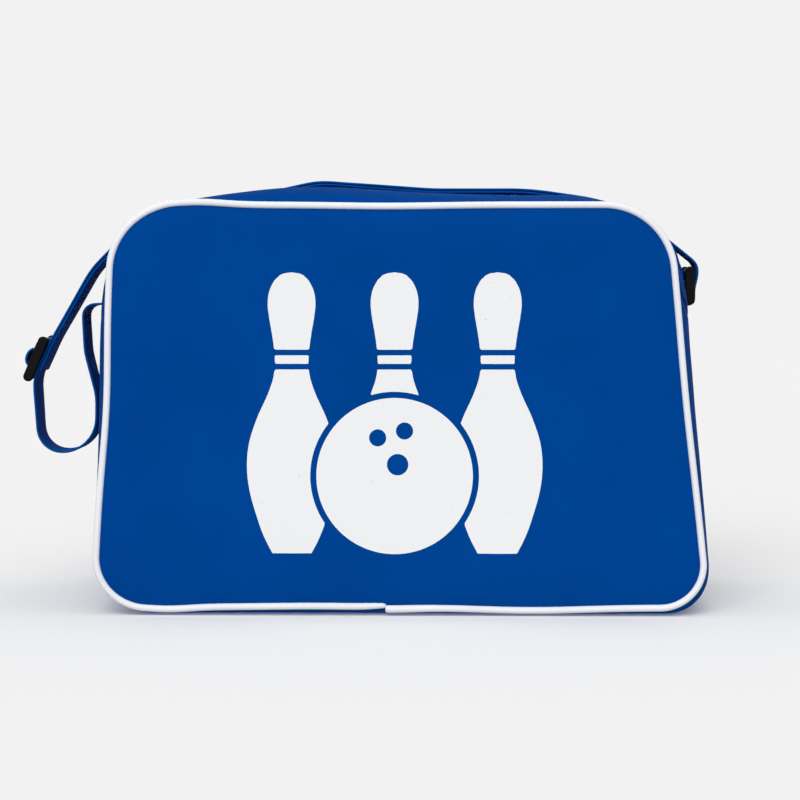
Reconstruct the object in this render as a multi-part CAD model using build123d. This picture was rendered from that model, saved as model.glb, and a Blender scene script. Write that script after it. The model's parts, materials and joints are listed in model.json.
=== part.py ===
from build123d import *
import os

# Zip-top shoulder bag for one bowling ball: a soft vinyl shell with piped front and
# back panels, a bulging gusset all round, a zip along the top and a double-slider strap.
# Millimetres. X runs along the bag, Y from front (-Y) to back, Z up.
# The origin is the centre of the base, on the surface the bag stands on.

# ---- driving dimensions ----
DEPTH = 230.0  # outer face of the front panel to outer face of the back panel
SKIN = 1.6  # vinyl shell
LINING = 0.4  # inner cloth
CLEAR = 0.3  # gap between pieces that move past each other

# Panel outline at the piping, as corner points of straight runs: (x, z)
PANEL_CORNERS = [(-201.0, 5.8), (201.0, 5.8), (174.0, 268.5), (-187.5, 268.5)]
PANEL_RADII = [32.0, 28.0, 46.0, 44.0]
# The gusset's widest line, where it bulges past the piping
GUSSET_CORNERS = [(-208.0, 0.0), (208.5, 0.0), (185.5, 276.0), (-199.0, 276.0)]
GUSSET_RADII = [44.0, 40.0, 80.0, 84.0]
# The gusset along the zip, which lies in a shallow valley
ZIP_CORNERS = [(-208.0, 0.0), (208.5, 0.0), (180.0, 266.0), (-193.0, 266.0)]
ZIP_RADII = [44.0, 40.0, 60.0, 60.0]

PIPING_R = 2.3
PIPING_CORE_R = 1.2
PIPING_Y = DEPTH / 2 - 1.5  # centre of the piping, from the middle of the bag
PIPING_JOIN_X = -8.0  # where the two ends of the piping meet, under the bag
PIPING_JOIN_GAP = 0.6

GUSSET_EDGE_Y = DEPTH / 2 - 4.0  # where the gusset is sewn to the panel
BULGE_Y = 76.0  # the gusset's widest line
VALLEY_Y = 13.0  # edge of the vinyl beside the zip tape

ZIP_END_Z = 205.0  # both ends of the zip, just above the side seams
TAPE_THICK = 0.8
TEETH_OUT = 2.8  # from the middle of the zip to the outer edge of one row of teeth
TEETH_GAP = 0.6  # half of the slot that the slider's web runs in
TEETH_RISE = 0.6
TEETH_THICK = 2.0

MOUTH_LEFT_X = -126.0  # the mouth opens between these two
MOUTH_RIGHT_X = 108.0
SEAM_Z = 203.0  # side seams between the lower gusset and the upper corners

WEBBING = 38.0
WEB_THICK = 1.6

SLIDER_X = 120.0
SLIDER_LENGTH = 13.0
SLIDER_WIDTH = 9.0
SLIDER_PLATE = 1.4
PULL_LENGTH = 17.6
PULL_R = 3.6
PULL_THICK = 1.2

BUCKLE_BAR_R = 2.0
BUCKLE_RAIL_Y = 21.3  # middle of a side rail
BUCKLE_RAIL_THICK = 3.2
BUCKLE_RAIL_HALF = 3.4
BUCKLE_EDGE_R = 0.9
LEFT_BUCKLE = (-252.3, 165.5)
LEFT_BUCKLE_HALF = 16.5  # half its length
LEFT_BAR_AT = 13.5  # end bars, from its middle
LEFT_BUCKLE_TILT = 23.0  # degrees from upright, its top towards the bag
LEFT_BAR_OUT = 2.0  # how far its middle bar stands outside its end bars
RIGHT_BUCKLE = (196.1, 215.8)
RIGHT_BUCKLE_HALF = 13.2
RIGHT_BAR_AT = 10.0
RIGHT_BAR_OUT = 1.9  # how far its middle bar stands inside its end bars

# Strap, as the centre lines of its webbing: (x, z)
OUTER_LAYER = [(-197.2, 203.2), (-220.5, 203.2), (-218.8, 170.0), (-211.0, 140.0), (-211.5, 101.2), (-250.8, 101.2)]
OUTER_LAYER += [(-254.3, 152.3), (-241.2, 180.0), (-214.2, 227.0), (-183.0, 258.6), (-158.0, 272.0), (-140.0, 274.2)]
OUTER_LAYER += [(-104.0, 276.8), (-58.0, 287.2), (20.0, 281.6), (86.0, 281.6), (137.0, 274.2), (163.0, 261.5)]
OUTER_LAYER += [(202.2, 230.0), (201.0, 220.5), (199.3, 214.0), (199.3, 202.7), (188.9, 202.7), (188.9, 210.0)]
OUTER_BENDS = [8.0, 40.0, 40.0, 23.5, 17.0, 30.0, 60.0, 60.0, 60.0, 40.0, 60.0, 100.0]
OUTER_BENDS += [60.0, 200.0, 200.0, 100.0, 60.0, 9.0, 10.0, 10.0, 3.0, 3.0]
INNER_LAYER = [(-249.7, 157.4), (-239.4, 179.2), (-212.6, 225.9), (-181.7, 257.1), (-157.3, 270.2), (-139.9, 272.3)]
INNER_LAYER += [(-103.8, 274.9), (-58.0, 285.3), (20.0, 279.7), (86.0, 279.7), (136.6, 272.3), (161.9, 259.8)]
INNER_LAYER += [(185.6, 240.9), (188.6, 230.5), (191.2, 225.0), (191.2, 219.8)]
INNER_BENDS = [60.0, 58.0, 58.0, 38.0, 62.0, 100.0, 60.0, 200.0, 200.0, 98.0, 58.0, 7.0, 10.0, 6.0]


def save(shape, name):
    """Writes one sub-part."""
    shape.label = name
    export_step(shape, f"parts/{name}.step")


def block(x0, x1, y0, y1, z0, z1):
    """A box between two corners."""
    return Pos((x0 + x1) / 2, (y0 + y1) / 2, (z0 + z1) / 2) * Box(x1 - x0, y1 - y0, z1 - z0)


def mirrored(shape):
    """The same piece on the other side of the bag's middle plane."""
    return mirror(shape, about=Plane.XZ)


# ---- outlines ----
def outline(corners, radii, inset, y):
    """A closed wire in the plane at depth y: the rounded outline, moved inwards by inset."""
    (x0, z0), (x1, z1), (x2, z2), (x3, z3) = corners
    points = [
        (x0 + inset, y, z0 + inset),
        (x1 - inset, y, z1 + inset),
        (x2 - inset, y, z2 - inset),
        (x3 + inset, y, z3 - inset),
    ]
    rounds = [max(radius - inset, 2.0) for radius in radii]
    return FilletPolyline(*points, radius=rounds, close=True).wire()


def slab(corners, radii, inset, y0, y1):
    """The outline's solid between two depths."""
    face = Face(outline(corners, radii, inset, y0))
    return Solid.extrude(face, Vector(0, y1 - y0, 0))


def bulging(inset):
    """The whole bag as a solid, moved inwards by inset."""
    stations = [
        (PANEL_CORNERS, PANEL_RADII, -GUSSET_EDGE_Y),
        (GUSSET_CORNERS, GUSSET_RADII, -BULGE_Y),
        (ZIP_CORNERS, ZIP_RADII, -VALLEY_Y),
        (ZIP_CORNERS, ZIP_RADII, VALLEY_Y),
        (GUSSET_CORNERS, GUSSET_RADII, BULGE_Y),
        (PANEL_CORNERS, PANEL_RADII, GUSSET_EDGE_Y),
    ]
    wires = [outline(corners, radii, inset, y) for corners, radii, y in stations]
    return Solid.make_loft(wires, ruled=True)


# ---- shell ----
def panel():
    """The front panel: a flat sheet inside the piping."""
    return slab(PANEL_CORNERS, PANEL_RADII, PIPING_R + CLEAR, -DEPTH / 2, -DEPTH / 2 + SKIN)


def panel_rim():
    """The panel's sewn allowance, from the panel to the gusset's edge, inside the piping."""
    outer = slab(PANEL_CORNERS, PANEL_RADII, PIPING_R + CLEAR, -DEPTH / 2 + SKIN, -GUSSET_EDGE_Y)
    inner = slab(PANEL_CORNERS, PANEL_RADII, PIPING_R + SKIN + CLEAR, -DEPTH / 2 + SKIN, -GUSSET_EDGE_Y)
    return outer - inner


def piping_path(y):
    """The piping's centre line, open where its two ends meet."""
    (x0, z0), (x1, z1), (x2, z2), (x3, z3) = PANEL_CORNERS
    start = PIPING_JOIN_X + PIPING_JOIN_GAP / 2
    stop = PIPING_JOIN_X - PIPING_JOIN_GAP / 2
    points = [(start, y, z0), (x1, y, z1), (x2, y, z2), (x3, y, z3), (x0, y, z0), (stop, y, z0)]
    rounds = [PANEL_RADII[1], PANEL_RADII[2], PANEL_RADII[3], PANEL_RADII[0]]
    return FilletPolyline(*points, radius=rounds).wire()


def piping(radius):
    """A round bead along the piping's line."""
    path = piping_path(-PIPING_Y)
    section = Plane(origin=path @ 0, z_dir=path % 0) * Circle(radius)
    return sweep(section, path=path)


def gusset_ring():
    """The gusset as one closed band, before it is cut for the mouth and the zip."""
    return bulging(0.0) - bulging(SKIN)


def zip_slot():
    """What is cut from the band for the zip, between its two ends."""
    return block(-250, 250, -VALLEY_Y, VALLEY_Y, ZIP_END_Z, 300)


def mouth_cut(y_edge, spare):
    """The moving part of one strip beside the zip, from the hinge line to the zip."""
    return block(MOUTH_LEFT_X + spare, MOUTH_RIGHT_X - spare, y_edge, 0, 240, 300)


def lower_gusset(band):
    """The base and both sides, up to the side seams."""
    return band & block(-250, 250, -DEPTH / 2, DEPTH / 2, -1, SEAM_Z)


def upper_corner(band, x0, x1):
    """A fixed corner of the top, with the slot that holds the zip's end."""
    return (band & block(x0, x1, -DEPTH / 2, DEPTH / 2, SEAM_Z, 300)) - zip_slot()


def top_strip(band):
    """The strip in front of the zip, which folds open."""
    return (band & mouth_cut(-GUSSET_EDGE_Y + CLEAR, CLEAR)) - zip_slot()


def zip_band(y0, y1, rise, thick):
    """A band that follows the zip from one side seam to the other."""
    ring = slab(ZIP_CORNERS, ZIP_RADII, -rise, y0, y1) - slab(ZIP_CORNERS, ZIP_RADII, thick - rise, y0, y1)
    return ring & block(-250, 250, y0, y1, ZIP_END_Z, 300)


def split_zip(band):
    """The moving middle and the two fixed ends of a band."""
    middle = band & block(MOUTH_LEFT_X + CLEAR, MOUTH_RIGHT_X - CLEAR, -50, 50, 240, 300)
    left = band & block(-250, MOUTH_LEFT_X, -50, 50, 200, 300)
    right = band & block(MOUTH_RIGHT_X, 250, -50, 50, 200, 300)
    return middle, left, right


def lining_band(z0, z1):
    """Cloth inside the shell, below the mouth."""
    band = bulging(SKIN + 0.1) - bulging(SKIN + 0.1 + LINING)
    return band & block(-250, 250, -GUSSET_EDGE_Y, GUSSET_EDGE_Y, z0, z1)


def lining_panel():
    """Cloth behind the front panel."""
    y = -DEPTH / 2 + SKIN + 0.1
    sheet = slab(PANEL_CORNERS, PANEL_RADII, PIPING_R + SKIN + 0.6, y, y + LINING)
    return sheet & block(-250, 250, -150, 0, 12, 262)


def base_board():
    """A stiff board that keeps the base flat."""
    board = block(-160, 164, -74, 74, 1.9, 4.3)
    return fillet(board.edges().filter_by(Axis.Z), 18)


def zip_end_tab(side):
    """A patch of vinyl over one end of the zip, on the side seam. Side is -1 for the left."""
    ring = slab(ZIP_CORNERS, ZIP_RADII, -1.0, -15, 15) - slab(ZIP_CORNERS, ZIP_RADII, -0.25, -15, 15)
    return ring & block(min(0, 250 * side), max(0, 250 * side), -15, 15, ZIP_END_Z - 18, ZIP_END_Z - 2.8)


def zip_stop(side):
    """A small clip over the last teeth."""
    ring = slab(ZIP_CORNERS, ZIP_RADII, -TEETH_RISE - 0.9, -3.2, 3.2)
    ring -= slab(ZIP_CORNERS, ZIP_RADII, -TEETH_RISE - 0.05, -3.2, 3.2)
    return ring & block(min(0, 250 * side), max(0, 250 * side), -4, 4, ZIP_END_Z + 0.4, ZIP_END_Z + 3.0)


# ---- zip slider ----
ZIP_TOP_Z = ZIP_CORNERS[2][1]
PLATE_Z = ZIP_TOP_Z + TEETH_RISE + CLEAR
PULL_Z = PLATE_Z + SLIDER_PLATE + CLEAR


def slider_plate(low):
    """One of the slider's two plates."""
    half = SLIDER_LENGTH / 2
    plate = block(-half, half, -SLIDER_WIDTH / 2, SLIDER_WIDTH / 2, low, low + SLIDER_PLATE)
    plate = fillet(plate.edges().filter_by(Axis.Z), 2.5)
    return fillet(plate.faces().sort_by(Axis.Z)[-1].edges(), 0.4)


def zip_slider():
    """Two plates joined by a web that runs between the teeth, with a headed stub for the pull."""
    under = ZIP_TOP_Z + TEETH_RISE - TEETH_THICK - CLEAR
    half = SLIDER_LENGTH / 2 - 1
    web = block(-half, half, -0.3, 0.3, under - 0.5, PLATE_Z + 0.5)
    stub_top = PULL_Z + PULL_THICK + CLEAR
    stub = Pos(0, 0, (PLATE_Z + stub_top) / 2) * Cylinder(1.5, stub_top - PLATE_Z)
    head = Pos(0, 0, stub_top + 0.4) * Cylinder(2.6, 0.8)
    return Pos(SLIDER_X, 0, 0) * (slider_plate(PLATE_Z) + slider_plate(under - SLIDER_PLATE) + web + stub + head)


def pull_tab():
    """A flat pull with an eye that turns round the slider's stub."""
    middle = PULL_Z + PULL_THICK / 2
    far = PULL_LENGTH - PULL_R
    tab = block(0, far, -PULL_R, PULL_R, PULL_Z, PULL_Z + PULL_THICK)
    eye = Pos(0, 0, middle) * Cylinder(PULL_R, PULL_THICK)
    tip = Pos(far, 0, middle) * Cylinder(PULL_R, PULL_THICK)
    hole = Pos(0, 0, middle) * Cylinder(1.5 + CLEAR, 10)
    window = Pos(far, 0, middle) * Cylinder(1.6, 10)
    pull = fillet((tab + eye + tip).edges().filter_by(GeomType.CIRCLE), 0.3)
    return Pos(SLIDER_X, 0, 0) * (pull - hole - window)


# ---- strap ----
def ribbon(points, bends, y0=-WEBBING / 2, y1=WEBBING / 2):
    """Webbing along a line of (x, z) points, with rounded bends."""
    path = FilletPolyline(*points, radius=bends)
    strip = trace(path.edges(), line_width=WEB_THICK)
    return Pos(0, y0, 0) * extrude(Plane.XZ * strip, amount=y0 - y1)


def split_strap(layer):
    """The part of a layer over the mouth, and the parts left and right of it."""
    over = block(MOUTH_LEFT_X + CLEAR, MOUTH_RIGHT_X - CLEAR, -30, 30, 240, 300)
    left = block(-300, MOUTH_LEFT_X, -30, 30, 50, 300)
    right = block(MOUTH_RIGHT_X, 300, -30, 30, 50, 300)
    return layer & over, layer & left, layer & right


def bar(x, z):
    """A buckle's cross bar, between its side rails."""
    return Pos(x, 0, z) * Rot(90, 0, 0) * Cylinder(BUCKLE_BAR_R, 2 * BUCKLE_RAIL_Y)


def buckle(half, bar_at, bar_out):
    """A strap buckle, upright at the origin: two rails, two end bars and an offset middle bar."""
    rail = extrude(Plane.XZ * SlotOverall(2 * half, 2 * BUCKLE_RAIL_HALF, rotation=90), amount=BUCKLE_RAIL_THICK)
    faces = rail.faces().sort_by(Axis.Y)
    rail = fillet(faces[0].edges() + faces[-1].edges(), BUCKLE_EDGE_R)
    solid = Pos(0, BUCKLE_RAIL_Y + BUCKLE_RAIL_THICK / 2, 0) * rail
    solid += Pos(0, -BUCKLE_RAIL_Y + BUCKLE_RAIL_THICK / 2, 0) * rail
    for x, z in ((0, -bar_at), (0, bar_at), (bar_out, 0)):
        solid += bar(x, z)
    return solid


def end_loop(bar_out, tail):
    """A strap end sewn round a buckle's middle bar; its tail is a flat (x0, x1, z0, z1)."""
    inner_r = BUCKLE_BAR_R + 0.1
    ring = Pos(bar_out, 0, 0) * Rot(90, 0, 0) * Cylinder(inner_r + WEB_THICK, WEBBING)
    x0, x1, z0, z1 = tail
    ring += block(x0, x1, -WEBBING / 2, WEBBING / 2, z0, z1)
    return ring - Pos(bar_out, 0, 0) * Rot(90, 0, 0) * Cylinder(inner_r, WEBBING + 2)


def at_left(shape):
    """Puts a buckle piece at the left buckle, leaning with the strap."""
    x, z = LEFT_BUCKLE
    return Pos(x, 0, z) * Rot(0, LEFT_BUCKLE_TILT, 0) * shape


def at_right(shape):
    """Puts a buckle piece at the right buckle."""
    x, z = RIGHT_BUCKLE
    return Pos(x, 0, z) * shape


# ---- all sub-parts ----
os.makedirs("parts", exist_ok=True)

band = gusset_ring()
save(lower_gusset(band), "lower_gusset")
save(upper_corner(band, -250, MOUTH_LEFT_X), "upper_gusset_left")
save(upper_corner(band, MOUTH_RIGHT_X, 250), "upper_gusset_right")
strip = top_strip(band)
save(strip, "top_strip_front")
save(mirrored(strip), "top_strip_back")
save(lining_band(9, 250), "lining_gusset")
save(base_board(), "base_board")

for name, shape in {
    "panel": panel() + panel_rim(),
    "piping_cover": piping(PIPING_R) - piping(PIPING_CORE_R),
    "piping_core": piping(PIPING_CORE_R),
    "lining": lining_panel(),
}.items():
    save(shape, f"{name}_front")
    save(mirrored(shape), f"{name}_back")

for name, shape in {
    "zip_tape": zip_band(-VALLEY_Y, -TEETH_OUT, 0.0, TAPE_THICK),
    "zip_teeth": zip_band(-TEETH_OUT, -TEETH_GAP, TEETH_RISE, TEETH_THICK),
}.items():
    middle, left, right = split_zip(shape)
    save(middle, f"{name}_front")
    save(mirrored(middle), f"{name}_back")
    save(Compound([left, mirrored(left)]), f"{name}_left_end")
    save(Compound([right, mirrored(right)]), f"{name}_right_end")

save(zip_slider(), "zip_slider")
save(pull_tab(), "pull_tab")
for side, name in ((-1, "left"), (1, "right")):
    save(zip_end_tab(side), f"zip_end_tab_{name}")
    save(zip_stop(side), f"zip_stop_{name}")

for layer, name in (
    (ribbon(OUTER_LAYER, OUTER_BENDS), "outer"),
    (ribbon(INNER_LAYER, INNER_BENDS), "inner"),
):
    middle, left, right = split_strap(layer)
    save(middle, f"strap_top_{name}")
    save(left, f"strap_left_{name}")
    save(right, f"strap_right_{name}")

save(at_left(buckle(LEFT_BUCKLE_HALF, LEFT_BAR_AT, -LEFT_BAR_OUT)), "buckle_left")
save(at_left(end_loop(-LEFT_BAR_OUT, (-4.2, -2.6, 3.6, 9.0))), "strap_end_loop_left")
save(at_right(buckle(RIGHT_BUCKLE_HALF, RIGHT_BAR_AT, -RIGHT_BAR_OUT)), "buckle_right")
save(at_right(end_loop(-RIGHT_BAR_OUT, (-5.7, -4.1, 0.0, 3.6))), "strap_end_loop_right")
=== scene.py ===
import json
import math

import bpy
import numpy as np
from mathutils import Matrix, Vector, noise


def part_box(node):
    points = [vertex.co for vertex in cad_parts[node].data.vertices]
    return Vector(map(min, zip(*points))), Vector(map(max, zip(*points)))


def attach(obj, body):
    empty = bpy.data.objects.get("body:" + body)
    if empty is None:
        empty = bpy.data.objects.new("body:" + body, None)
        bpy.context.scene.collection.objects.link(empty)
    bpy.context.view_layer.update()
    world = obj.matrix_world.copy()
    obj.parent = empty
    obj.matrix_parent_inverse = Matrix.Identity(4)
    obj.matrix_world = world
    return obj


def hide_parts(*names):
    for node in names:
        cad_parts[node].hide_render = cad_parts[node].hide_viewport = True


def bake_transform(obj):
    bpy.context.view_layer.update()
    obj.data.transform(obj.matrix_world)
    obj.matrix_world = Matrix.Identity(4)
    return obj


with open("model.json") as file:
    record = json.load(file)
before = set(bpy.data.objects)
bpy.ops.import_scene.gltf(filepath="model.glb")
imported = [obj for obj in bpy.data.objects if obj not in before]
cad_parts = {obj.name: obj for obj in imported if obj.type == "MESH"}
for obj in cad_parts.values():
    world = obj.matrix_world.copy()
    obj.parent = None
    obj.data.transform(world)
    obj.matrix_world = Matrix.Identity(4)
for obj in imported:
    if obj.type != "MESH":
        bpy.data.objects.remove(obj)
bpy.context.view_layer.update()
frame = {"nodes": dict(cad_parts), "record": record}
MM = 0.001


def box(node):
    """A CAD node's lowest and highest corner, in millimetres."""
    low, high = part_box(node)
    return np.array(low) / MM, np.array(high) / MM


# ---- sizes from the frame, in millimetres ----
PANEL_Y = box("panel_front")[0][1]  # outer face of the front panel
PIPE_LOW, PIPE_HIGH = box("piping_cover_front")
PIPING_R = (PIPE_HIGH[1] - PIPE_LOW[1]) / 2
PIPING_Y = (PIPE_HIGH[1] + PIPE_LOW[1]) / 2
SEAM_Z = box("lower_gusset")[1][2]
SEAM_Y = box("lower_gusset")[0][1]
TAPE_Z = box("zip_tape_front")[1][2]
VALLEY_Y = -box("zip_tape_front")[0][1]
STRAP_HALF = box("strap_top_outer")[1][1]

# ---- outlines: (x, z) corners of straight runs, from the base's left corner round the right ----
ZIP_TOP = TAPE_Z + 1.2  # the valley that the zip lies in
PANEL_CORNERS = [(-201.0, 5.8), (201.0, 5.8), (174.0, 268.5), (-187.5, 268.5)]
PANEL_RADII = [32.0, 28.0, 46.0, 44.0]
WIDE_CORNERS = [(-208.0, 0.0), (208.5, 0.0), (185.5, 278.0), (-199.0, 278.0)]
WIDE_RADII = [44.0, 31.0, 88.0, 92.0]
ZIP_CORNERS = [(-208.0, 0.0), (208.5, 0.0), (180.0, ZIP_TOP), (-193.0, ZIP_TOP)]
ZIP_RADII = [44.0, 31.0, 60.0, 60.0]
JOIN_X = -6.5  # where the piping's ends meet, under the bag
# Soft dents and swells of the sewn edge: x, z, shift in x, shift in z, spread
SAGS = [
    (-191, 137, 2.3, 0.0, 48),
    (186, 140, -1.0, 0.0, 55),
    (-132, 268, 0.0, 1.9, 24),
    (-8, 268, 0.0, -0.8, 45),
    (-55, 6, 0.0, 0.7, 45),
    (-152, 6, 0.0, -1.4, 20),
    (85, 6, 0.0, -1.8, 50),
]
# The same for the gusset's full width, over the top and on the left shoulder
CREST_SAGS = [
    (-54, 278, 0.0, 5.4, 56),
    (-128, 278, 0.0, -2.4, 34),
    (112, 278, 0.0, -1.2, 45),
    (-197, 244, -3.0, 0.0, 20),
]
BASE_STEPS, SIDE_STEPS, TOP_STEPS, ARC_STEPS = 60, 66, 92, 24


def unit(v):
    """A vector at length 1."""
    return v / np.linalg.norm(v)


def unit_rows(v):
    """Each row of an array at length 1."""
    return v / np.linalg.norm(v, axis=1, keepdims=True)


def travelled(path):
    """The length along a path up to each of its points."""
    return np.concatenate([[0], np.cumsum(np.linalg.norm(np.diff(path, axis=0), axis=1))])


def at_lengths(at, steps, path):
    """The points of a path at some lengths along it."""
    return np.stack([np.interp(at, steps, path[:, k]) for k in range(path.shape[1])], axis=-1)


def line(a, b, count):
    """Points from a towards b, without b."""
    t = np.linspace(0.0, 1.0, count, endpoint=False)[:, None]
    return a + (b - a) * t


def arc(start, end, centre, count):
    """Points round a bend from start towards end, without end."""
    a0 = math.atan2(*(start - centre)[::-1])
    a1 = math.atan2(*(end - centre)[::-1])
    turn = (a1 - a0 + math.pi) % (2 * math.pi) - math.pi
    angle = a0 + turn * np.linspace(0.0, 1.0, count, endpoint=False)
    radius = np.linalg.norm(start - centre)
    return centre + radius * np.stack([np.cos(angle), np.sin(angle)], axis=1)


def bend(before, corner, after, radius):
    """Start, end and centre of the arc that rounds a corner."""
    a, b = unit(before - corner), unit(after - corner)
    half = math.acos(np.clip(a @ b, -1, 1)) / 2
    reach = radius / math.tan(half)
    return corner + a * reach, corner + b * reach, corner + unit(a + b) * radius / math.sin(half)


def outline(corners, radii):
    """Points round a rounded outline, from under the bag and round its right side first."""
    corners = [np.array(c, float) for c in corners]
    arcs = [bend(corners[i - 1], corners[i], corners[(i + 1) % 4], radii[i]) for i in range(4)]
    middle = np.array([JOIN_X, corners[0][1]])
    runs = [line(middle, arcs[1][0], BASE_STEPS)]
    for i, steps in ((1, SIDE_STEPS), (2, TOP_STEPS), (3, SIDE_STEPS), (0, BASE_STEPS)):
        runs.append(arc(*arcs[i], ARC_STEPS))
        follow = arcs[(i + 1) % 4][0] if i else middle
        runs.append(line(arcs[i][1], follow, steps))
    return np.concatenate(runs)


def sag(points, sags):
    """An outline with soft dents and swells."""
    moved = points.copy()
    for x, z, dx, dz, spread in sags:
        weight = np.exp(-(((points[:, 0] - x) ** 2 + (points[:, 1] - z) ** 2) / spread ** 2))
        moved[:, 0] += dx * weight
        moved[:, 1] += dz * weight
    return moved


EDGE = sag(outline(PANEL_CORNERS, PANEL_RADII), SAGS)
WIDE = sag(outline(WIDE_CORNERS, WIDE_RADII), CREST_SAGS)
ZIP = outline(ZIP_CORNERS, ZIP_RADII)
COUNT = len(EDGE)


def seam_index(first):
    """The outline point at the side seam's height, on the side that starts at point first."""
    return first + int(np.argmin(abs(WIDE[first:][:SIDE_STEPS, 1] - SEAM_Z)))


RIGHT_SEAM = seam_index(BASE_STEPS + ARC_STEPS)
LEFT_SEAM = seam_index(BASE_STEPS + 3 * ARC_STEPS + SIDE_STEPS + TOP_STEPS)
TOP_MIDDLE = BASE_STEPS + 2 * ARC_STEPS + SIDE_STEPS + TOP_STEPS // 2


def smooth(t):
    """An ease from 0 to 1 as t goes from 0 to 1."""
    t = np.clip(t, 0.0, 1.0)
    return t * t * (3 - 2 * t)


VALLEY_START = 66.0  # depth at which the shell starts down towards the zip
LOW_Z = 40.0  # below this, the swell is fuller, so that the base stands flat


def section(y):
    """The shell's outline at depth y: the sewn edge swells to full width, with a valley at the zip."""
    out = min(abs(y) / -SEAM_Y, 1.0)
    valley = smooth((VALLEY_START - abs(y)) / (VALLEY_START - VALLEY_Y))
    full = WIDE * (1 - valley) + ZIP * valley
    low = smooth(1 - WIDE[:, 1:] / LOW_Z)
    swell = (1 - low) * (1 - out ** 4) ** 0.7 + low * (1 - out ** 16) ** 0.4
    flat = EDGE * (1 - swell) + full * swell
    return np.stack([flat[:, 0], np.full(COUNT, y), flat[:, 1]], axis=1)


# ---- meshes ----
def normals(grid):
    """Outward unit normals of a grid whose first axis runs round the bag and second runs back."""
    along = np.gradient(grid, axis=0)
    across = np.gradient(grid, axis=1)
    out = np.cross(across, along)
    return out / np.maximum(np.linalg.norm(out, axis=2, keepdims=True), 1e-9)


def lumps(points, size, seed):
    """Smooth noise from -1 to 1 at each point; size is the lumps' spacing."""
    flat = points.reshape(-1, 3) / size + seed * 17.3
    values = [noise.noise(Vector(p)) for p in flat]
    return np.array(values).reshape(points.shape[:-1])


def mesh_object(name, verts, faces, uvs=None, smooth_shading=True):
    """An object from points in millimetres. uvs holds one pair per point, in metres."""
    mesh = bpy.data.meshes.new(name)
    mesh.from_pydata([tuple(v) for v in np.asarray(verts) * MM], [], [tuple(f) for f in faces])
    if uvs is not None:
        layer = mesh.uv_layers.new(name="length")
        index = np.empty(len(mesh.loops), dtype=np.int32)
        mesh.loops.foreach_get("vertex_index", index)
        layer.data.foreach_set("uv", (np.asarray(uvs, float)[index]).ravel())
    if smooth_shading:
        mesh.polygons.foreach_set("use_smooth", [True] * len(mesh.polygons))
    mesh.validate()
    obj = bpy.data.objects.new(name, mesh)
    bpy.context.scene.collection.objects.link(obj)
    return obj


def grid_faces(rows, cols, wrap_cols=False, flip=False):
    """The quads between the points of a grid."""
    faces = []
    for i in range(rows - 1):
        for j in range(cols if wrap_cols else cols - 1):
            a, b = i * cols + j, (i + 1) * cols + j
            c, d = (i + 1) * cols + (j + 1) % cols, i * cols + (j + 1) % cols
            faces.append((a, d, c, b) if flip else (a, b, c, d))
    return faces


def sheet_object(name, grid, thick, flip=False):
    """A grid of points as a sheet, thickened inwards. Its inner face takes a second material."""
    rows, cols = grid.shape[:2]
    lengths = np.meshgrid(travelled(grid[:, 0]) * MM, travelled(grid[0]) * MM, indexing="ij")
    uvs = np.stack(lengths, axis=2).reshape(-1, 2)
    obj = mesh_object(name, grid.reshape(-1, 3), grid_faces(rows, cols, flip=flip), uvs)
    solid = obj.modifiers.new("thickness", "SOLIDIFY")
    solid.thickness = thick * MM
    solid.offset = -1
    solid.material_offset = 1
    flatten = obj.modifiers.new("rim_shading", "WEIGHTED_NORMAL")
    flatten.mode = "FACE_AREA"
    flatten.weight = 100
    return obj


def tube_object(name, path, radius, sides=14):
    """A round tube along a path, with one radius for each of its points."""
    count = len(path)
    tangent = unit_rows(np.gradient(path, axis=0))
    lengths = travelled(path)
    side = np.cross(tangent[0], [0.0, 0.0, 1.0])
    verts, uvs = [], []
    for i in range(count):
        side = unit(side - tangent[i] * (side @ tangent[i]))
        other = np.cross(tangent[i], side)
        for k in range(sides):
            a = 2 * math.pi * k / sides
            verts.append(path[i] + radius[i] * (math.cos(a) * side + math.sin(a) * other))
            uvs.append((lengths[i] * MM, a * radius[i] * MM))
    faces = grid_faces(count, sides, wrap_cols=True, flip=True)
    faces.append(tuple(reversed(range(sides))))
    faces.append(tuple((count - 1) * sides + k for k in range(sides)))
    return mesh_object(name, verts, faces, uvs)


def peg(first, sides, rings, flip=False):
    """The faces of a small closed peg whose points start at number first: its sides and two caps."""
    faces = [tuple(first + v for v in f) for f in grid_faces(rings, sides, wrap_cols=True, flip=flip)]
    faces.append(tuple(first + k for k in range(sides)))
    faces.append(tuple(first + (rings - 1) * sides + k for k in reversed(range(sides))))
    return faces


# ---- materials ----
def srgb(r, g, b):
    """A linear colour from 0-255 values."""
    def linear(c):
        c /= 255.0
        return c / 12.92 if c <= 0.04045 else ((c + 0.055) / 1.055) ** 2.4
    return (linear(r), linear(g), linear(b), 1.0)


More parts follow.
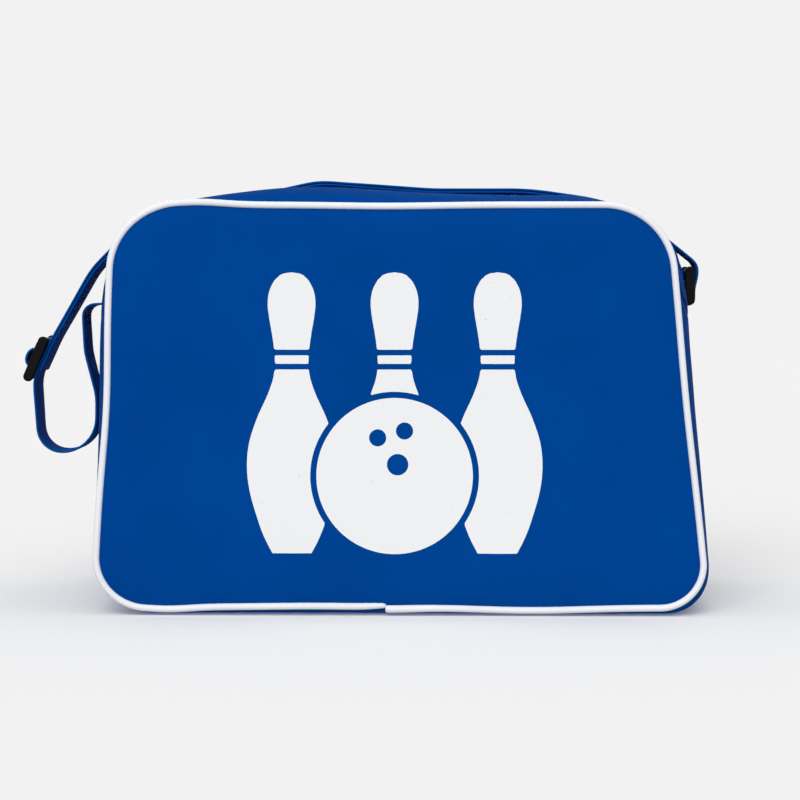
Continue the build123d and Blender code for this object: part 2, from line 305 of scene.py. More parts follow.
class Nodes:
    """A material's node tree with short ways to add to it."""

    def __init__(self, name):
        self.material = bpy.data.materials.new(name)
        self.material.use_nodes = True
        self.tree = self.material.node_tree
        self.shader = self.tree.nodes["Principled BSDF"]

    def add(self, kind, values=None, **props):
        node = self.tree.nodes.new(kind)
        for key, value in props.items():
            setattr(node, key, value)
        for key, value in (values or {}).items():
            node.inputs[key].default_value = value
        return node

    def link(self, source, target):
        self.tree.links.new(source, target)

    def set(self, **values):
        for key, value in values.items():
            self.shader.inputs[key.replace("_", " ")].default_value = value

    def position(self):
        """Object coordinates, which are the row frame in metres."""
        return self.add("ShaderNodeTexCoord").outputs["Object"]

    def noise(self, vector, scale, detail=3.0, rough=0.5):
        node = self.add("ShaderNodeTexNoise", {"Scale": scale, "Detail": detail, "Roughness": rough})
        self.link(vector, node.inputs["Vector"])
        return node.outputs["Fac"]

    def ramp(self, value, low, high, start=0.0, end=1.0):
        """A colour or a grey from low to high as value goes from start to end."""
        node = self.add("ShaderNodeValToRGB")
        node.color_ramp.elements[0].position = start
        node.color_ramp.elements[1].position = end
        node.color_ramp.elements[0].color = low if hasattr(low, "__len__") else (low, low, low, 1)
        node.color_ramp.elements[1].color = high if hasattr(high, "__len__") else (high, high, high, 1)
        self.link(value, node.inputs["Fac"])
        return node.outputs["Color"]

    def math(self, operation, a, b=0.0):
        node = self.add("ShaderNodeMath", operation=operation)
        for socket, value in zip(node.inputs, (a, b)):
            if isinstance(value, (int, float)):
                socket.default_value = value
            else:
                self.link(value, socket)
        return node.outputs[0]

    def bump(self, height, strength, distance):
        """Adds a bump to the shader, on top of any that it has."""
        node = self.add("ShaderNodeBump", {"Strength": strength, "Distance": distance})
        self.link(height, node.inputs["Height"])
        links = self.shader.inputs["Normal"].links
        if links:
            self.link(links[0].from_socket, node.inputs["Normal"])
        self.link(node.outputs["Normal"], self.shader.inputs["Normal"])


def vinyl(name, colour, dark, rough=(0.42, 0.56), grain=0.35):
    """Soft coated vinyl: fine pebbled grain, slight mottling, satin finish."""
    m = Nodes(name)
    where = m.position()
    m.link(m.ramp(m.noise(where, 16.0, 4.0), dark, colour, 0.3, 0.62), m.shader.inputs["Base Color"])
    m.link(m.ramp(m.noise(where, 60.0, 5.0), rough[0], rough[1], 0.3, 0.7), m.shader.inputs["Roughness"])
    pebbles = m.add("ShaderNodeTexVoronoi", {"Scale": 1500.0, "Randomness": 1.0}, feature="SMOOTH_F1")
    m.link(where, pebbles.inputs["Vector"])
    m.bump(pebbles.outputs["Distance"], grain, 0.00012)
    m.bump(m.noise(where, 260.0, 3.0), 0.25, 0.00015)
    m.set(Specular_IOR_Level=0.003)
    return m.material


def webbing_material(name, colour, dark):
    """Flat woven webbing: a herringbone of ribs along it, with fuzz, and painted shade that darkens the gaps
    between yarns.
    """
    m = Nodes(name)
    uv = m.add("ShaderNodeUVMap", uv_map="length").outputs["UV"]
    split = m.add("ShaderNodeSeparateXYZ")
    m.link(uv, split.inputs[0])
    along, across = split.outputs[0], split.outputs[1]
    zig = m.math("PINGPONG", across, 0.0024)
    ribs = m.math("SINE", m.math("MULTIPLY", m.math("ADD", along, zig), 2 * math.pi / 0.0016))
    yarns = m.math("SINE", m.math("MULTIPLY", across, 2 * math.pi / 0.0012))
    weave = m.math("ADD", m.math("MULTIPLY", ribs, 0.6), m.math("MULTIPLY", yarns, 0.4))
    where = m.position()
    # painted shade: the colour goes darker where the weave is low, in the gaps between yarns, on top of
    # random mottling
    tone = m.math("ADD", m.math("MULTIPLY", weave, 0.22), m.noise(where, 45.0, 4.0))
    m.link(m.ramp(tone, dark, colour, 0.25, 0.75), m.shader.inputs["Base Color"])
    m.link(m.ramp(m.noise(where, 300.0, 3.0), 0.5, 0.72, 0.3, 0.7), m.shader.inputs["Roughness"])
    m.bump(weave, 0.7, 0.00025)
    m.bump(m.noise(where, 1400.0, 2.0), 0.3, 0.00008)
    m.set(Specular_IOR_Level=0.01)
    return m.material


def plastic(name, colour, rough=(0.25, 0.4), specular=0.3):
    """Moulded plastic with a faint texture and handling marks."""
    m = Nodes(name)
    where = m.position()
    shade = [c * 0.75 for c in colour[:3]] + [1]
    m.link(m.ramp(m.noise(where, 90.0, 4.0), shade, colour, 0.3, 0.7), m.shader.inputs["Base Color"])
    m.link(m.ramp(m.noise(where, 420.0, 4.0), rough[0], rough[1], 0.35, 0.65), m.shader.inputs["Roughness"])
    m.bump(m.noise(where, 2500.0, 2.0), 0.15, 0.00005)
    m.set(Specular_IOR_Level=specular)
    return m.material


def metal(name, colour):
    """Plated zip metal with fine scratches."""
    m = Nodes(name)
    where = m.position()
    shade = [c * 0.7 for c in colour[:3]] + [1]
    m.link(m.ramp(m.noise(where, 500.0, 4.0), shade, colour, 0.3, 0.7), m.shader.inputs["Base Color"])
    m.link(m.ramp(m.noise(where, 1800.0, 3.0), 0.22, 0.42, 0.3, 0.7), m.shader.inputs["Roughness"])
    m.bump(m.noise(where, 3000.0, 2.0), 0.1, 0.00004)
    m.set(Metallic=1.0)
    return m.material


def printed_white(name):
    """White screen print, thin enough that a little blue shows through worn specks."""
    m = Nodes(name)
    where = m.position()
    worn = m.ramp(m.noise(where, 420.0, 6.0, 0.6), 0.0, 1.0, 0.70, 0.74)
    mix = m.add("ShaderNodeMixRGB", {"Color1": srgb(236, 238, 240), "Color2": srgb(70, 110, 170)})
    m.link(worn, mix.inputs["Fac"])
    m.link(mix.outputs["Color"], m.shader.inputs["Base Color"])
    m.link(m.ramp(m.noise(where, 90.0, 4.0), 0.45, 0.6, 0.3, 0.7), m.shader.inputs["Roughness"])
    m.bump(m.noise(where, 700.0, 4.0), 0.2, 0.00006)
    m.set(Specular_IOR_Level=0.1)
    return m.material


def cloth(name, colour, dark, pitch=0.0007):
    """Plain woven cloth."""
    m = Nodes(name)
    where = m.position()
    split = m.add("ShaderNodeSeparateXYZ")
    m.link(where, split.inputs[0])
    waves = [m.math("SINE", m.math("MULTIPLY", split.outputs[k], 2 * math.pi / pitch)) for k in range(3)]
    weave = m.math("MULTIPLY", m.math("ADD", waves[0], waves[1]), waves[2])
    m.link(m.ramp(m.noise(where, 120.0, 5.0), dark, colour, 0.3, 0.7), m.shader.inputs["Base Color"])
    m.bump(weave, 0.4, 0.00012)
    m.set(Roughness=0.85, Specular_IOR_Level=0.15, Sheen_Weight=0.2)
    return m.material


BLUE, BLUE_DARK = srgb(0, 67, 146), srgb(0, 64, 140)
MATERIALS = {
    "shell": vinyl("royal_blue_vinyl", BLUE, BLUE_DARK),
    "piping": vinyl("white_vinyl", srgb(237, 239, 244), srgb(231, 233, 239), grain=0.15),
    # the webbing's second colour is the painted shade in the weave's gaps, and also the dark end of its
    # random mottling
    "webbing": webbing_material("blue_webbing", srgb(0, 86, 168), srgb(0, 72, 148)),
    "zip_tape": cloth("zip_tape_cloth", srgb(0, 60, 135), srgb(0, 45, 105)),
    "zip_teeth": plastic("zip_coil", srgb(6, 55, 120)),
    "zip_metal": metal("zip_plating", srgb(190, 190, 190)),
    "buckle": plastic("black_buckle_plastic", srgb(9, 9, 9), (0.3, 0.42), specular=0.1),
    "lining": cloth("black_lining", srgb(30, 30, 34), srgb(20, 20, 23)),
    "base_board": plastic("board", srgb(40, 40, 42), (0.6, 0.8)),
    "piping_core": plastic("cord_core", srgb(225, 225, 220), (0.6, 0.8)),
    "thread": plastic("blue_thread", srgb(0, 58, 128), (0.5, 0.7)),
    "print": printed_white("print_white"),
}
for entry in frame["record"]["subparts"]:
    node = frame["nodes"].get(entry["node"])
    if node is not None:
        node.data.materials.clear()
        node.data.materials.append(MATERIALS[entry["material_slot"]])


def dress(obj, slot, body="shell", replaces=(), back=None):
    """Gives a piece its material, a backing if it has one and its body, and hides the CAD nodes that it
    stands for.
    """
    obj.data.materials.clear()
    obj.data.materials.append(MATERIALS[slot])
    if "thickness" in obj.modifiers:
        obj.data.materials.append(MATERIALS[back or slot])
    if body:
        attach(obj, body)
    if replaces:
        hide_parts(*replaces)
    return obj


# ---- shell: gusset ----
def depths(y0, y1, step=3.2):
    """Even depths from one edge to another, about a step apart."""
    count = max(int(abs(y1 - y0) / step), 4)
    return np.linspace(y0, y1, count + 1)


def ripple(grid, amount):
    """Moves a shell grid in and out: broad soft lumps, and short puckers beside the piping seam."""
    from_seam = abs(SEAM_Y) - abs(grid[:, :, 1])
    broad = lumps(grid, 95.0, 1) * 1.3 + lumps(grid, 42.0, 2) * 0.5
    pucker = lumps(grid * [1.0, 0.15, 1.0], 9.0, 3) * 0.7 * np.exp(-from_seam / 9.0)
    above_floor = smooth((grid[:, :, 2] - 2.0) / 25.0)
    moved = broad * smooth(from_seam / 8.0) * above_floor + pucker * smooth(from_seam / 2.5)
    return grid + normals(grid) * (moved * amount)[:, :, None]


def shell_grid(rows, ys):
    """The shell's surface for some outline points (by index) and depths."""
    return np.stack([section(y)[rows] for y in ys], axis=1)


TUCK_Y = -SEAM_Y + 1.5  # the gusset's edge is tucked behind the piping
STRIP_THICK = 1.3


def gusset():
    """The lower gusset, from one side seam under the bag to the other."""
    rows = np.arange(LEFT_SEAM - COUNT, RIGHT_SEAM + 1)
    grid = ripple(shell_grid(rows, depths(-TUCK_Y, TUCK_Y)), 1.0)
    from_end = np.minimum(np.arange(len(rows)), np.arange(len(rows))[::-1])
    tuck = STRIP_THICK * np.exp(-(from_end / 1.2) ** 2)
    grid -= normals(grid) * tuck[:, None, None]
    dress(sheet_object("lower_gusset_vinyl", grid, 1.5, flip=True), "shell", replaces=["lower_gusset"])
    return grid


def strip(side):
    """The strip beside the zip, from side seam to side seam over the top. side is -1 for the front."""
    ys = depths(side * TUCK_Y, side * VALLEY_Y)[::-side]
    return ripple(shell_grid(np.arange(RIGHT_SEAM, LEFT_SEAM + 1), ys), 0.8)


STITCH_PITCH, STITCH_LENGTH, STITCH_R = 3.2, 2.3, 0.28
# Along one stitch: part of its length, height above the vinyl, part of its radius
STITCH = np.array([(0.0, -0.3, 0.7), (0.2, 0.12, 1.0), (0.5, 0.22, 1.0), (0.8, 0.12, 1.0), (1.0, -0.3, 0.7)])
HEXAGON = np.arange(6) * math.pi / 3


def stitches(name, path, out):
    """A row of thread stitches along a path, each dipping into the surface at its ends."""
    steps = travelled(path)
    verts, faces = [], []
    for start in np.arange(STITCH_PITCH, steps[-1] - STITCH_PITCH, STITCH_PITCH):
        at = start + STITCH_LENGTH * STITCH[:, 0]
        lift = at_lengths(at, steps, out)
        thread = at_lengths(at, steps, path) + lift * STITCH[:, 1:2]
        up = unit(lift[2])
        side = unit(np.cross(unit(thread[-1] - thread[0]), lift[2]))
        faces += peg(len(verts), 6, len(STITCH))
        for point, r in zip(thread, STITCH_R * STITCH[:, 2]):
            verts += [point + r * (math.cos(a) * side + math.sin(a) * up) for a in HEXAGON]
    return mesh_object(name, verts, faces)


GUSSET = gusset()


def fold(obj):
    """Bakes the piece's placement into its mesh."""
    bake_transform(obj)


def top_strip(side, flap):
    """A strip beside the zip in two halves, each with a row of stitches along its hem."""
    whole = strip(side)
    out = normals(whole)
    middle = TOP_MIDDLE - RIGHT_SEAM
    hem = -2 if side < 0 else 1
    for end, part in (("right", slice(0, middle + 1)), ("left", slice(middle, None))):
        piece = sheet_object(f"top_strip_{flap}_{end}_vinyl", whole[part], STRIP_THICK, flip=True)
        nodes = [f"top_strip_{flap}", f"upper_gusset_{end}"]
        dress(piece, "shell", body=None, replaces=nodes, back="lining")
        fold(piece)
        row = stitches(f"top_strip_{flap}_{end}_topstitch", whole[part][:, hem], out[part][:, hem])
        dress(row, "thread", body=None)
        fold(row)


SIDES = ((-1, "front"), (1, "back"))
for side, flap in SIDES:
    top_strip(side, flap)


# ---- shell: panels and piping ----
SEAM_ALLOWANCE = 0.8  # from the piping's middle to the edge of the panel


def panel_grid(count_x=150, count_z=104):
    """A grid that fills the sewn edge, corner to corner."""
    loop = inward(EDGE, SEAM_ALLOWANCE)
    marks = [BASE_STEPS + ARC_STEPS // 2]
    for steps in (SIDE_STEPS, TOP_STEPS, SIDE_STEPS):
        marks.append(marks[-1] + ARC_STEPS + steps)
    right_low, right_top, left_top, left_low = marks
    base = np.concatenate([loop[left_low:], loop[:right_low + 1]])
    base = resample(base, count_x)
    right = resample(loop[right_low:right_top + 1], count_z)
    top = resample(loop[right_top:left_top + 1][::-1], count_x)
    left = resample(loop[left_top:left_low + 1][::-1], count_z)
    u = np.linspace(0, 1, count_x)[:, None, None]
    v = np.linspace(0, 1, count_z)[None, :, None]
    grid = (1 - v) * base[:, None] + v * top[:, None] + (1 - u) * left[None] + u * right[None]
    grid -= (1 - u) * (1 - v) * base[0] + u * (1 - v) * base[-1]
    grid -= (1 - u) * v * top[0] + u * v * top[-1]
    return grid


def resample(points, count):
    """The same line with evenly spaced points."""
    steps = travelled(points)
    return at_lengths(np.linspace(0, steps[-1], count), steps, points)


def inward(loop, distance):
    """A closed (x, z) outline moved inwards."""
    along = unit_rows(np.roll(loop, -1, axis=0) - np.roll(loop, 1, axis=0))
    return loop + distance * np.stack([-along[:, 1], along[:, 0]], axis=1)


def edge_distance(points, loop):
    """How far each (x, z) point is inside the outline."""
    flat = points.reshape(-1, 2)
    best = np.full(len(flat), 1e9)
    for corner in loop[::2]:
        best = np.minimum(best, ((flat - corner) ** 2).sum(axis=1))
    return np.sqrt(best).reshape(points.shape[:-1])


FLAT = panel_grid()
TO_EDGE = edge_distance(FLAT, EDGE)
NOISE_Y = 50.0  # the depth at which the panels' soft lumps are read from the noise


def puffed(flat, to_edge, side):
    """Points on a panel's outer surface over flat (x, z) points."""
    points = np.stack([flat[..., 0], np.full(flat.shape[:-1], side * NOISE_Y), flat[..., 1]], axis=-1)
    puff = 3.4 * (1 - np.exp(-np.maximum(to_edge - 1.5, 0) / 9.0)) - 1.2 * np.exp(-to_edge / 2.0)
    puff += lumps(points, 110.0, 5) * 0.9 * smooth(to_edge / 30.0)
    puff += lumps(points, 11.0, 6) * 0.35 * np.exp(-to_edge / 10.0) * smooth(to_edge / 4.0)
    points[..., 1] = side * (-PANEL_Y - 1.6 + puff)
    return points


def panel(side, name):
    """A panel, puffed out of its piping, with puckers beside the seam. side is -1 for the front."""
    piece = sheet_object(f"panel_{name}_vinyl", puffed(FLAT, TO_EDGE, side), 1.4, flip=side > 0)
    dress(piece, "shell", replaces=[f"panel_{name}"])


for side, name in SIDES:
    panel(side, name)


def piping(side, name):
    """The white bead round a panel. Its right end laps under its left end, beneath the bag."""
    path = np.stack([EDGE[:, 0], np.full(COUNT, side * -PIPING_Y), EDGE[:, 1]], axis=1)
    lap = path[:1] - [[3.0, 0, 0], [2.2, 0, 0], [1.1, 0, 0]]
    path = np.concatenate([lap, path])
    steps = travelled(path)
    under = np.exp(-(steps / 26.0) ** 2)
    over = np.exp(-((steps[-1] - steps) / 12.0) ** 2)
    path[:, 2] += over * 0.9 - under * 1.2
    path[:, 1] += side * (under * 0.9 - over * 0.9)
    radius = PIPING_R * (0.98 + 0.12 * under - 0.10 * over)
    radius[:2] *= [0.72, 0.97]
    radius[-2:] *= [0.97, 0.72]
    piece = tube_object(f"piping_{name}_cover", path, radius)
    dress(piece, "piping", replaces=[f"piping_cover_{name}", f"piping_core_{name}"])


for side, name in SIDES:
    piping(side, name)

# ---- print on the front panel: a plain ball and pins ----
PRINT_LOW, PRINT_HIGH = (-100.0, 41.0), (93.0, 225.0)
PIN_HEIGHT = PRINT_HIGH[1] - PRINT_LOW[1]
# A pin's outline: height and half width, as parts of its height
PIN = [(0.0, 0.068), (0.05, 0.094), (0.15, 0.130), (0.225, 0.150), (0.30, 0.159), (0.392, 0.152)]
PIN += [(0.483, 0.123), (0.575, 0.082), (0.625, 0.0655), (0.667, 0.060), (0.725, 0.0623)]
PIN += [(0.783, 0.070), (0.842, 0.080), (0.885, 0.0845), (0.92, 0.0815), (0.955, 0.069)]
PIN += [(0.98, 0.050), (0.995, 0.025), (1.0, 0.0)]
BALL, BALL_R = (-3.5, 92.0), 51.0
HOLES = [((-14.5, 117.0), 5.6), ((3.0, 121.5), 5.6), ((-1.5, 99.5), 7.0)]
PIN_MIDDLES = (-70.5, -3.5, 63.5)
NECK_BANDS = ((0.655, 0.675), (0.705, 0.725))  # unprinted bands, as parts of a pin's height
BALL_GAP = 4.0  # unprinted ring round the ball
PRINT_PROUD = 0.14


def curve_through(at, knots):
    """A smooth curve through (position, value) knots."""
    xs, ys = np.array(knots).T
    slope = np.gradient(ys, xs)
    i = np.clip(np.searchsorted(xs, at) - 1, 0, len(xs) - 2)
    step = xs[i + 1] - xs[i]
    t = np.clip((at - xs[i]) / step, 0.0, 1.0)
    value = ys[i] * (1 + 2 * t) * (1 - t) ** 2 + ys[i + 1] * t * t * (3 - 2 * t)
    return value + step * t * (1 - t) * (slope[i] * (1 - t) - slope[i + 1] * t)


def inside_print(x, z):
    """Positive inside the printed shapes, negative outside, as a rough distance in millimetres."""
    up = (z - PRINT_LOW[1]) / PIN_HEIGHT
    half = np.where((up < 0) | (up > 1), -0.02, curve_through(up, PIN)) * PIN_HEIGHT
    pins = np.full(x.shape, -99.0)
    for middle in PIN_MIDDLES:
        pins = np.maximum(pins, half - abs(x - middle))
    pins = np.minimum(pins, z - PRINT_LOW[1])
    for low, high in NECK_BANDS:
        pins = np.minimum(pins, (abs(up - (low + high) / 2) - (high - low) / 2) * PIN_HEIGHT)
    away = np.hypot(x - BALL[0], z - BALL[1])
    pins = np.minimum(pins, away - BALL_R - BALL_GAP)
    ball = BALL_R - away
    for centre, radius in HOLES:
        ball = np.minimum(ball, np.hypot(x - centre[0], z - centre[1]) - radius)
    return np.maximum(pins, ball)


def printed(cell=1.25):
    """The printed shapes as a thin film on the front panel, cut where inside_print() is zero."""
    xs = np.arange(PRINT_LOW[0] - 2, PRINT_HIGH[0] + 2, cell)
    zs = np.arange(PRINT_LOW[1] - 2, PRINT_HIGH[1] + 2, cell)
    grid = np.stack(np.meshgrid(xs, zs, indexing="ij"), axis=2)
    value = inside_print(grid[:, :, 0], grid[:, :, 1])
    index, points, faces = {}, [], []

    def corner(key, point):
        if key not in index:
            index[key] = len(points)
            points.append(point)
        return index[key]

    for i in range(len(xs) - 1):
        for j in range(len(zs) - 1):
            ring = [(i, j), (i + 1, j), (i + 1, j + 1), (i, j + 1)]
            if max(value[c] for c in ring) <= 0:
                continue
            face = []
            for a, b in zip(ring, ring[1:] + ring[:1]):
                if value[a] > 0:
                    face.append(corner(a, grid[a]))
                if (value[a] > 0) != (value[b] > 0):
                    low, high = sorted((a, b))
                    t = value[low] / (value[low] - value[high])
                    face.append(corner((low, high), grid[low] * (1 - t) + grid[high] * t))
            if len(face) > 2:
                faces.append(face)
    flat = np.array(points)
    skin = puffed(flat, edge_distance(flat, EDGE), -1)
    skin[:, 1] -= PRINT_PROUD
    piece = mesh_object("front_print", skin, faces)
    dress(piece, "print")


printed()

# ---- zip ----
TAPE_UNDER, TEETH_UNDER = 1.35, 1.95  # below the shell's outer surface
TOOTH_PITCH = 1.5
# One tooth from the tape to the zip's middle: distance from the middle, height, radius
TOOTH = [(2.9, -0.1, 0.35), (2.3, 0.6, 0.48), (1.0, 0.85, 0.5), (0.1, 0.7, 0.55), (-0.35, 0.35, 0.4)]


def zip_side(side, flap, end, rows):
    """Half of the zip tape and its teeth, on one side of the zip and at one end of the bag."""
    ys = np.linspace(side * (VALLEY_Y + 3.0), side * 2.2, 6)[::-side]
    grid = shell_grid(rows, ys)
    grid -= normals(grid) * TAPE_UNDER
    tape = sheet_object(f"zip_tape_{flap}_{end}_cloth", grid, 0.6, flip=True)
    dress(tape, "zip_tape", body=None, replaces=[f"zip_tape_{flap}", f"zip_tape_{end}_end"])
    fold(tape)
    centre = shell_grid(rows, [-1.0, 0.0, 1.0])
    out = normals(centre)[:, 1]
    path = centre[:, 1] - out * TEETH_UNDER
    steps = travelled(path)
    offset = 0.4 if side < 0 else 0.4 + TOOTH_PITCH / 2
    verts, faces = [], []
    for at in np.arange(offset, steps[-1], TOOTH_PITCH):
        point = at_lengths(at, steps, path)
        up = unit(at_lengths(at, steps, out))
        ahead = unit(np.cross(up, [0, 1, 0]))
        faces += peg(len(verts), 6, len(TOOTH), flip=side < 0)
        for y, lift, r in TOOTH:
            ring = point + [0, side * y, 0] + up * lift
            verts += [ring + r * (math.cos(a) * ahead + math.sin(a) * up) for a in HEXAGON]
    teeth = mesh_object(f"zip_teeth_{flap}_{end}_coil", verts, faces)
    dress(teeth, "zip_teeth", body=None, replaces=[f"zip_teeth_{flap}", f"zip_teeth_{end}_end"])
    fold(teeth)


for side, flap in SIDES:
    zip_side(side, flap, "right", np.arange(RIGHT_SEAM, TOP_MIDDLE + 1))
    zip_side(side, flap, "left", np.arange(TOP_MIDDLE, LEFT_SEAM + 1))

PATCH_HALF, PATCH_PROUD = 15.0, 1.15


def border(grid):
    """The points one step inside a grid's edge, in order round it."""
    return np.concatenate([grid[1, 1:-1], grid[1:-1, -2], grid[-2, 1:-1][::-1], grid[1:-1, 1][::-1]])


def end_patch(end, rows):
    """A vinyl patch over one end of the zip, sewn down round its edge."""
    grid = shell_grid(rows, np.linspace(-PATCH_HALF, PATCH_HALF, 13))
    out = normals(grid)
    grid = grid + out * PATCH_PROUD
    patch = sheet_object(f"zip_end_{end}_patch", grid, 1.0, flip=True)
    dress(patch, "shell", replaces=[f"zip_end_tab_{end}"])
    dress(stitches(f"zip_end_{end}_stitches", border(grid), border(out)), "thread")


end_patch("right", np.arange(RIGHT_SEAM - 6, RIGHT_SEAM + 1))
end_patch("left", np.arange(LEFT_SEAM, LEFT_SEAM + 7))


def seam_stitches():
    """A row of stitches under each side seam, on both sides of the end patches."""
    out = normals(GUSSET)
    ys = GUSSET[0, :, 1]
    for end, row in (("left", 1), ("right", -2)):
        for name, part in (("front", ys < -PATCH_HALF - 2), ("back", ys > PATCH_HALF + 2)):
            seam, lift = GUSSET[row][part][2:-2], out[row][part][2:-2]
            dress(stitches(f"side_seam_{end}_{name}_stitches", seam, lift), "thread")


seam_stitches()


# ---- lining: cloth sizes in metres, the rest in millimetres ----
LINING_UNDER = 2.6
LINING_THICK = 0.4
LINING_FLOOR_Z = 5.2  # over the base board


def lining():
    """Black cloth inside the gusset, the base and both panels."""
    inner = GUSSET - normals(GUSSET) * LINING_UNDER
    inner[:, :, 2] = np.maximum(inner[:, :, 2], LINING_FLOOR_Z)
    keep = abs(inner[0, :, 1]) < -SEAM_Y - 1.0
    piece = sheet_object("lining_gusset_cloth", inner[:, keep], LINING_THICK, flip=True)
    dress(piece, "lining", replaces=["lining_gusset"])
    for side, name in SIDES:
        depth = side * (-PANEL_Y - LINING_UNDER + 2.2 * (1 - np.exp(-TO_EDGE / 9.0)) - 0.6)
        points = np.stack([FLAT[:, :, 0], depth, FLAT[:, :, 1]], axis=2)[2:-2, 2:-2][::2, ::2]
        piece = sheet_object(f"lining_{name}_cloth", points, LINING_THICK, flip=side > 0)
        dress(piece, "lining", replaces=[f"lining_{name}"])


lining()

# ---- strap ----
def route(points, bends, step=1.5):
    """Points along a line of (x, z) points with rounded bends."""
    points = [np.array(p, float) for p in points]
    at = points[0]
    runs = []
    for i, radius in enumerate(bends, 1):
        start, end, centre = bend(points[i - 1], points[i], points[i + 1], radius)
        runs.append(line(at, start, max(int(np.linalg.norm(start - at) / step), 1)))
        runs.append(arc(start, end, centre, max(int(np.linalg.norm(end - start) / step), 3)))
        at = end
    runs.append(line(at, points[-1], max(int(np.linalg.norm(points[-1] - at) / step), 1)))
    runs.append(points[-1][None])
    path = np.concatenate(runs)
    path = resample(path, int(travelled(path)[-1] / step))
    for _ in range(3):
        path[1:-1] = path[1:-1] * 0.5 + (path[:-2] + path[2:]) * 0.25
    return path


WEB_THICK = 1.6
# Webbing in section: parts of its half width and of its half thickness
STRAP_EDGE = [(-1.0, 0.0), (-0.985, 0.75), (-0.94, 1.0), (-0.5, 0.96)]
STRAP_EDGE += [(0.0, 1.0), (0.5, 0.96), (0.94, 1.0), (0.985, 0.75)]
STRAP_EDGE += [(-a, -h) for a, h in STRAP_EDGE]


def ribbon(name, path, seed):
    """Flat webbing along an (x, z) path, with rounded edges and a slight waver."""
    count = len(path)
    along = unit_rows(np.gradient(path, axis=0))
    out = np.stack([-along[:, 1], along[:, 0]], axis=1)
    steps = travelled(path)
    free = smooth(np.minimum(steps, steps[-1] - steps) / 30.0)
    verts, uvs = [], []
    for i in range(count):
        waver = noise.noise(Vector((steps[i] / 55.0, seed * 7.7, 0))) * free[i]
        for a, h in STRAP_EDGE:
            y = a * STRAP_HALF
            offset = h * WEB_THICK / 2 + (0.02 * y + 0.25) * waver
            x, z = path[i] + out[i] * offset
            verts.append((x, y + 0.6 * waver, z))
            uvs.append((steps[i] * MM, (y + h) * MM))
    sides = len(STRAP_EDGE)
    faces = grid_faces(count, sides, wrap_cols=True)
    faces.append(tuple(range(sides)))
    faces.append(tuple((count - 1) * sides + k for k in reversed(range(sides))))
    return mesh_object(name, verts, faces, uvs)


# Centre lines of the two layers of webbing, from the left: (x, z), and the radius of each bend
OUTER = [(-197.2, 203.2), (-220.5, 203.2), (-218.8, 170.0), (-211.0, 140.0), (-211.5, 101.2)]
OUTER += [(-250.8, 101.2), (-254.3, 152.3), (-241.2, 180.0), (-214.2, 227.0), (-183.0, 258.6)]
OUTER += [(-158.0, 272.0), (-140.0, 274.2), (-104.0, 276.8), (-58.0, 287.2), (20.0, 281.6)]
OUTER += [(86.0, 281.6), (137.0, 274.2), (163.0, 261.5), (202.2, 230.0), (201.0, 220.5)]
OUTER += [(199.3, 214.0), (199.3, 202.7), (188.9, 202.7), (188.9, 210.0)]
OUTER_BENDS = [8.0, 40.0, 40.0, 23.5, 17.0, 30.0, 60.0, 60.0, 60.0, 40.0, 60.0, 100.0]
OUTER_BENDS += [60.0, 200.0, 200.0, 100.0, 60.0, 9.0, 10.0, 10.0, 3.0, 3.0]
INNER = [(-249.7, 157.4), (-239.4, 179.2), (-212.6, 225.9), (-181.7, 257.1), (-157.3, 270.2)]
INNER += [(-139.9, 272.3), (-103.8, 274.9), (-58.0, 285.3), (20.0, 279.7), (86.0, 279.7)]
INNER += [(136.6, 272.3), (161.9, 259.8), (185.6, 240.9), (188.6, 230.5), (191.2, 225.0)]
INNER += [(191.2, 219.8)]
INNER_BENDS = [60.0, 58.0, 58.0, 38.0, 62.0, 100.0, 60.0]
INNER_BENDS += [200.0, 200.0, 98.0, 58.0, 7.0, 10.0, 6.0]


def strap_layer(layer, points, bends, seed):
    """One layer of the strap in two halves."""
    path = route(points, bends)
    middle = int(np.argmin(np.abs(path[:, 0])))
    for end, half in (("left", path[:middle + 1]), ("right", path[middle:])):
        piece = ribbon(f"strap_{layer}_{end}_webbing", half, seed)
        dress(piece, "webbing", body=None, replaces=[f"strap_top_{layer}", f"strap_{end}_{layer}"])
        fold(piece)


strap_layer("outer", OUTER, OUTER_BENDS, 1)
strap_layer("inner", INNER, INNER_BENDS, 2)


BUCKLE_BAR_R = 2.0
BAR_GAP = 0.15
END_LOOP_TURN = 316  # degrees that a strap end goes round its bar


def end_loop(end, body, centre, tilt, bar_out, tail_x, tail_z, slack=0.0, half_height=0.0):
    """A strap end folded round a buckle's middle bar. Slack lets it bulge outwards as an oval."""
    radius = BUCKLE_BAR_R + BAR_GAP + WEB_THICK / 2
    turn = np.radians(np.arange(95, 95 + END_LOOP_TURN, 12))
    height = max(radius, half_height)
    ring = np.stack([bar_out - slack + (radius + slack) * np.cos(turn), height * np.sin(turn)], axis=1)
    join_z = height + 0.25
    first = np.array([(tail_x, tail_z), (tail_x, (tail_z + join_z) / 2), (tail_x, join_z)])
    local = np.concatenate([first, ring])
    lean = math.radians(tilt)
    x = centre[0] + local[:, 0] * math.cos(lean) + local[:, 1] * math.sin(lean)
    z = centre[1] - local[:, 0] * math.sin(lean) + local[:, 1] * math.cos(lean)
    piece = ribbon(f"strap_end_{end}_webbing", np.stack([x, z], axis=1), 5)
    dress(piece, "webbing", body, replaces=[f"strap_end_loop_{end}"])


LEFT_BUCKLE, LEFT_TILT = (-252.3, 165.5), 23.0
RIGHT_BUCKLE, RIGHT_TILT = (196.1, 215.8), 0.0
end_loop("left", "buckle", LEFT_BUCKLE, LEFT_TILT, -2.0, -3.4, 10.4, slack=1.0, half_height=6.0)
end_loop("right", "shell", RIGHT_BUCKLE, RIGHT_TILT, -1.9, -4.9, 3.6)

# ---- stage, lights and camera ----
FLOOR_HALF = 9000.0  # millimetres
FLOOR_GREY, FLOOR_GLOW = 0.85, 0.121  # together they show the photo's background in full light
SURROUND_R, SURROUND_GLOW = 12.0, 0.888


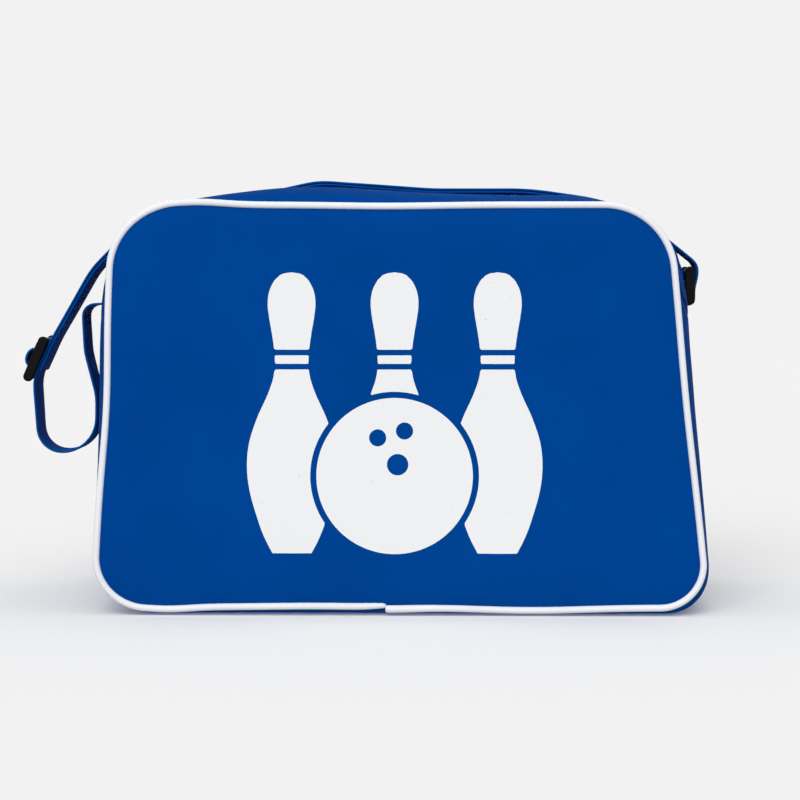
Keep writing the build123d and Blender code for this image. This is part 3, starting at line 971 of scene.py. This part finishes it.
def stage():
    """A pale floor, and a surround of the same tone that only the camera sees."""
    corners = np.array([(-1, -1, 0), (1, -1, 0), (1, 1, 0), (-1, 1, 0)]) * FLOOR_HALF
    floor = mesh_object("floor", corners, [(0, 1, 2, 3)], smooth_shading=False)
    m = Nodes("floor_white")
    m.set(Base_Color=(FLOOR_GREY, FLOOR_GREY, FLOOR_GREY, 1), Roughness=1.0, Specular_IOR_Level=0.0)
    m.set(Emission_Color=(1, 1, 1, 1), Emission_Strength=FLOOR_GLOW)
    floor.data.materials.append(m.material)
    floor.visible_diffuse = False
    floor.visible_glossy = False
    bpy.ops.mesh.primitive_uv_sphere_add(segments=64, ring_count=32, radius=SURROUND_R)
    dome = bpy.context.object
    dome.name = "surround"
    m = Nodes("surround_white")
    m.set(Base_Color=(0, 0, 0, 1), Specular_IOR_Level=0.0)
    m.set(Emission_Color=(1, 1, 1, 1), Emission_Strength=SURROUND_GLOW)
    dome.data.materials.append(m.material)
    dome.visible_diffuse = False
    dome.visible_glossy = False
    dome.visible_shadow = False
    dome.visible_transmission = False


def sun(name, towards, strength, angle):
    """A wide soft light that shines from a direction."""
    data = bpy.data.lights.new(name, "SUN")
    data.energy = strength
    data.angle = math.radians(angle)
    obj = bpy.data.objects.new(name, data)
    obj.location = Vector(towards) * 2.0
    obj.rotation_euler = (-Vector(towards)).to_track_quat("-Z", "Y").to_euler()
    bpy.context.scene.collection.objects.link(obj)


stage()
world = bpy.data.worlds.new("studio")
world.use_nodes = True
world.node_tree.nodes["Background"].inputs["Color"].default_value = (1, 1, 1, 1)
world.node_tree.nodes["Background"].inputs["Strength"].default_value = 0.5
bpy.context.scene.world = world
sun("key", (-0.12, -0.85, 0.5), 1.85, 40)
sun("top", (0.0, -0.1, 1.0), 0.35, 60)

VIEW_HEIGHT = 0.1416
CAMERA_DISTANCE = 1.8
CAMERA_AZIMUTH = math.radians(1.2)
CAMERA_ELEVATION = math.radians(2.5)
VIEW_WIDTH = 0.5212  # what the picture takes in at the front panel
target = Vector((0.0, PANEL_Y * MM, VIEW_HEIGHT))
back = Vector((
    math.sin(CAMERA_AZIMUTH) * math.cos(CAMERA_ELEVATION),
    -math.cos(CAMERA_AZIMUTH) * math.cos(CAMERA_ELEVATION),
    math.sin(CAMERA_ELEVATION),
))
camera = bpy.data.objects.new("camera", bpy.data.cameras.new("camera"))
camera.data.lens = camera.data.sensor_width * CAMERA_DISTANCE / VIEW_WIDTH
camera.data.clip_end = 100
camera.location = target + back * CAMERA_DISTANCE
camera.rotation_euler = (-back).to_track_quat("-Z", "Y").to_euler()
bpy.context.scene.collection.objects.link(camera)
bpy.context.scene.camera = camera
bpy.context.scene.view_settings.view_transform = "Standard"
